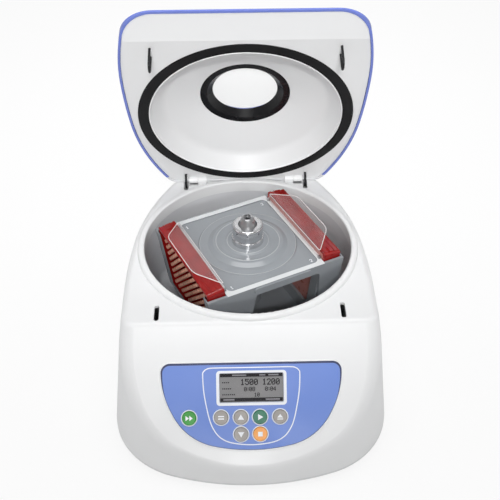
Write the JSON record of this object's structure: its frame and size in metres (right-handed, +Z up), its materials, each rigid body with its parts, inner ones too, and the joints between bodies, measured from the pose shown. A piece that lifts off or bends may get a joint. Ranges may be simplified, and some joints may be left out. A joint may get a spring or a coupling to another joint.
{
  "type": "centrifuge vortex mixer",
  "caption": "Benchtop plate centrifuge and mixer: sloped key panel, round bowl with a two-plate swing rotor, and a domed hinged lid with a round window, standing open.",
  "frame": {"origin": "on the bench, under the axis of the bowl and its spindle", "axes": "+X to the user's right, +Y to the back where the lid hinges, +Z up"},
  "size_m": [0.288, 0.3589, 0.4],
  "materials": {
    "case_white": "satin moulded",
    "tray_white": "fine texture",
    "lid_blue": "gloss moulded",
    "lid_white": "satin moulded",
    "bowl_grey": "satin moulded",
    "black_rubber": "matte",
    "black_plastic": "satin",
    "clear_plastic": "polished clear",
    "steel_bright": "polished",
    "steel_screws": "plain zinc",
    "black_wire": "satin black",
    "rotor_grey": "satin coat",
    "plate_red": "clear tinted",
    "plate_film": "thin film",
    "aluminium_parts": "machined",
    "motor_steel": "oxide coat",
    "magnet_dark": "bonded magnet",
    "panel_blue": "printed film",
    "display_grey": "display glass",
    "board_green": "solder mask",
    "part_black": "moulded",
    "key_green": "satin",
    "key_teal": "satin",
    "key_orange": "satin",
    "key_grey": "satin"
  },
  "bodies": {
    "housing": {"top_cover": "case_white", "bowl_liner": "bowl_grey", "liner_screws": "steel_screws", "shaft_seal": "black_rubber", "base_tray": "tray_white", "rubber_feet": "black_rubber", "foot_screws": "steel_screws", "cover_screws": "steel_screws", "motor_plate": "aluminium_parts", "motor_dampers": "black_rubber", "damper_screws": "steel_screws", "bearing_tube": "aluminium_parts", "shaft_bearings": "steel_bright", "stator_core": "motor_steel", "hinge_blocks": "case_white", "latch_brackets": "steel_screws", "latch_coils": "motor_steel", "panel_overlay": "panel_blue", "display_window": "clear_plastic", "display_module": "display_grey", "key_switches": "part_black", "control_board": "board_green", "board_screws": "steel_screws", "main_board": "board_green", "board_parts": "part_black", "heat_sink": "aluminium_parts", "power_inlet": "black_plastic", "switch_frame": "black_plastic"},
    "lid": {"lid_outer": "lid_blue", "lid_inner": "lid_white", "lid_gasket": "black_rubber", "window_ring": "black_plastic", "window_pane": "clear_plastic", "latch_loops": "black_wire", "lid_knuckles": "case_white", "lid_stays": "black_wire", "hinge_pins": "steel_bright"},
    "spindle": {"spindle_shaft": "steel_bright", "motor_bell": "motor_steel", "magnet_ring": "magnet_dark", "rotor_frame": "rotor_grey", "well_plate_left": "plate_red", "well_plate_right": "plate_red", "plate_seal_left": "plate_film", "plate_seal_right": "plate_film", "flap_clips": "steel_screws"},
    "knob": {"rotor_knob": "steel_bright", "knob_screw": "steel_screws"},
    "flap_left_piece": {"flap_left": "clear_plastic"},
    "flap_right_piece": {"flap_right": "clear_plastic"},
    "latch_left": {"latch_bolt_left": "steel_bright"},
    "latch_right": {"latch_bolt_right": "steel_bright"},
    "rocker": {"power_rocker": "black_plastic"},
    "quick_button_cap": {"quick_button": "key_green"},
    "select_button_cap": {"select_button": "key_grey"},
    "up_button_cap": {"up_button": "key_grey"},
    "run_button_cap": {"run_button": "key_teal"},
    "open_button_cap": {"open_button": "key_grey"},
    "down_button_cap": {"down_button": "key_grey"},
    "stop_button_cap": {"stop_button": "key_orange"}
  },
  "joints": [
    {"name": "lid_hinge", "type": "hinge", "parent": "housing", "child": "lid", "pos_m": [0, 0.1164, 0.144], "axis": [-1, 0, 0], "range_deg": [-69.2, 0], "stiffness_Nm_per_rad": 0.35, "springref_deg": 68.75},
    {"name": "rotor_spin", "type": "hinge", "parent": "housing", "child": "spindle", "pos_m": [0, 0, 0.056], "axis": [0, 0, 1], "continuous": true},
    {"name": "knob_turn", "type": "hinge", "parent": "spindle", "child": "knob", "pos_m": [0, 0, 0.1464], "axis": [0, 0, 1], "range_deg": [0, 360]},
    {"name": "flap_right_hinge", "type": "hinge", "parent": "spindle", "child": "flap_right_piece", "pos_m": [0.05042, 0.02437, 0.1431], "axis": [0.4352, -0.9003, 0], "range_deg": [0, 75]},
    {"name": "flap_left_hinge", "type": "hinge", "parent": "spindle", "child": "flap_left_piece", "pos_m": [-0.05042, -0.02437, 0.1431], "axis": [-0.4352, 0.9003, 0], "range_deg": [0, 75]},
    {"name": "quick_button_press", "type": "slide", "parent": "housing", "child": "quick_button_cap", "axis": [0, -0.766, 0.6428], "range_m": [-0.0006, 0], "stiffness_N_per_m": 300, "springref_m": 0.0003},
    {"name": "select_button_press", "type": "slide", "parent": "housing", "child": "select_button_cap", "axis": [0, -0.766, 0.6428], "range_m": [-0.0006, 0], "stiffness_N_per_m": 300, "springref_m": 0.0003},
    {"name": "up_button_press", "type": "slide", "parent": "housing", "child": "up_button_cap", "axis": [0, -0.766, 0.6428], "range_m": [-0.0006, 0], "stiffness_N_per_m": 300, "springref_m": 0.0003},
    {"name": "run_button_press", "type": "slide", "parent": "housing", "child": "run_button_cap", "axis": [0, -0.766, 0.6428], "range_m": [-0.0006, 0], "stiffness_N_per_m": 300, "springref_m": 0.0003},
    {"name": "open_button_press", "type": "slide", "parent": "housing", "child": "open_button_cap", "axis": [0, -0.766, 0.6428], "range_m": [-0.0006, 0], "stiffness_N_per_m": 300, "springref_m": 0.0003},
    {"name": "down_button_press", "type": "slide", "parent": "housing", "child": "down_button_cap", "axis": [0, -0.766, 0.6428], "range_m": [-0.0006, 0], "stiffness_N_per_m": 300, "springref_m": 0.0003},
    {"name": "stop_button_press", "type": "slide", "parent": "housing", "child": "stop_button_cap", "axis": [0, -0.766, 0.6428], "range_m": [-0.0006, 0], "stiffness_N_per_m": 300, "springref_m": 0.0003},
    {"name": "rocker_tilt", "type": "hinge", "parent": "housing", "child": "rocker", "pos_m": [-0.034, 0.133, 0.034], "axis": [0, 0, 1], "range_deg": [0, 16]},
    {"name": "latch_left_slide", "type": "slide", "parent": "housing", "child": "latch_left", "axis": [-1, 0, 0], "range_m": [-0.007, 0]},
    {"name": "latch_right_slide", "type": "slide", "parent": "housing", "child": "latch_right", "axis": [1, 0, 0], "range_m": [-0.007, 0]}
  ],
  "couplings": [
    {"joint": "latch_right_slide", "follows": "latch_left_slide", "ratio": 1}
  ]
}
